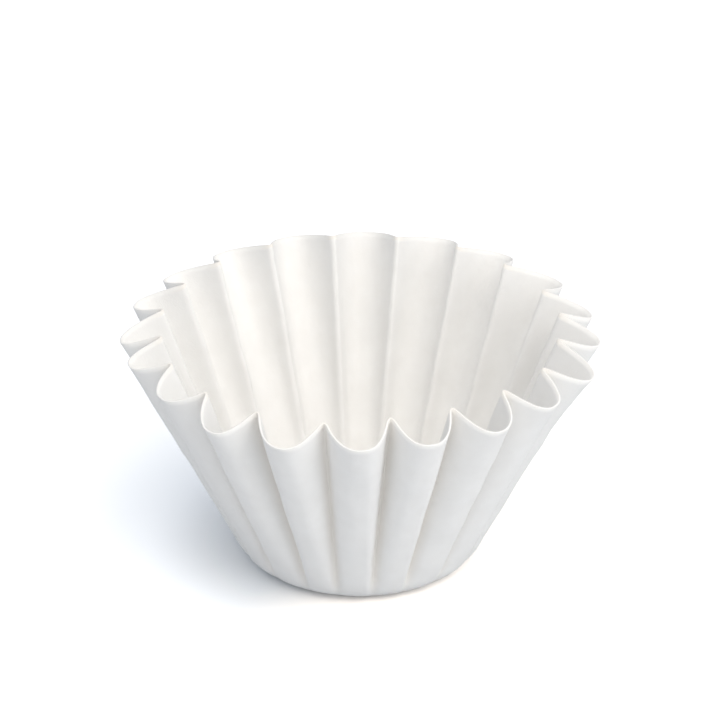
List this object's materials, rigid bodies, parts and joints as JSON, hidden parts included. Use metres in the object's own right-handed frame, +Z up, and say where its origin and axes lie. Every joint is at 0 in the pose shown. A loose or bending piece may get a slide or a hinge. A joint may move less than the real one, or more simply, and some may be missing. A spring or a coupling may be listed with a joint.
{
  "type": "paper coffee filter",
  "caption": "Flat-bottomed basket coffee filter: a disc of white filter paper pressed into a cup with a rounded base edge and waved sides that flare to an open, wavy rim.",
  "frame": {"origin": "centre of the flat base, on its underside", "axes": "+Z up out of the open mouth, along the cup's axis; -Y towards the front of the picture, +X to its right"},
  "size_m": [0.1051, 0.1034, 0.0559],
  "materials": {
    "filter_paper": "matt, soft white bleached filter paper"
  },
  "bodies": {
    "root": {"paper_filter": "filter_paper"}
  },
  "joints": []
}
